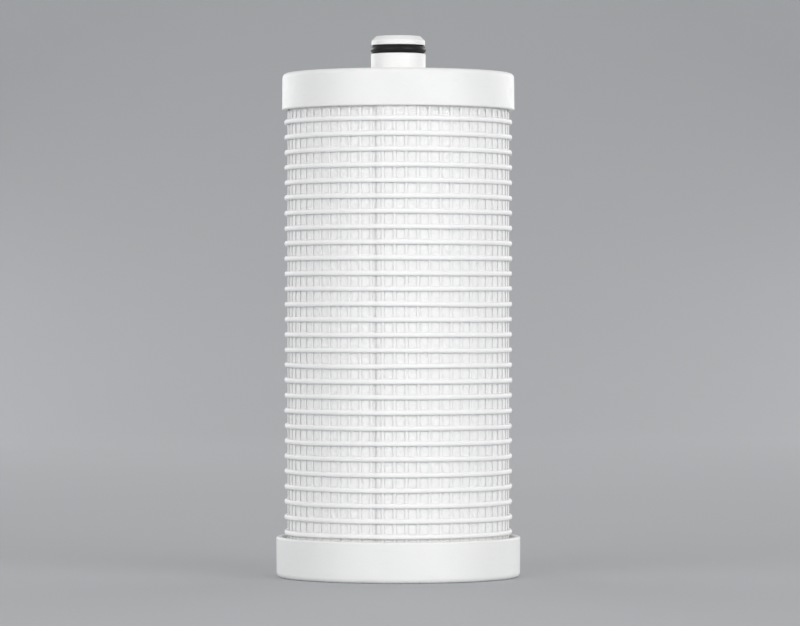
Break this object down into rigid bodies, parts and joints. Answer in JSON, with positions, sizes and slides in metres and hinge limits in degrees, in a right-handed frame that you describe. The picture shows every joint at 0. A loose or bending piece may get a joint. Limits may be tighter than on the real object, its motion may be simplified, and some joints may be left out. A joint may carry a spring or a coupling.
{
  "type": "refrigerator water filter cartridge",
  "caption": "Drop-in cylindrical water filter cartridge: carbon block in white fleece and net between moulded end caps, with a short outlet nozzle sealed by an O-ring.",
  "frame": {"origin": "centre of the flat base of the bottom cap, where the cartridge stands", "axes": "+Z along the cartridge axis towards the outlet nozzle; -Y is the front, where the seam of the fleece wrap shows"},
  "size_m": [0.0482, 0.0482, 0.107],
  "materials": {
    "cap_plastic": "white moulded polypropylene, satin",
    "net_plastic": "white extruded polyethylene net",
    "fleece": "white nonwoven polypropylene fleece",
    "carbon": "black sintered activated carbon, matt and porous",
    "seal_rubber": "black moulded EPDM rubber, lightly greased"
  },
  "bodies": {
    "root": {"bottom_end_cap": "cap_plastic", "carbon_block": "carbon", "core_liner": "fleece", "fleece_wrap": "fleece", "outer_net": "net_plastic", "top_end_cap": "cap_plastic", "nozzle_o_ring": "seal_rubber"}
  },
  "joints": []
}
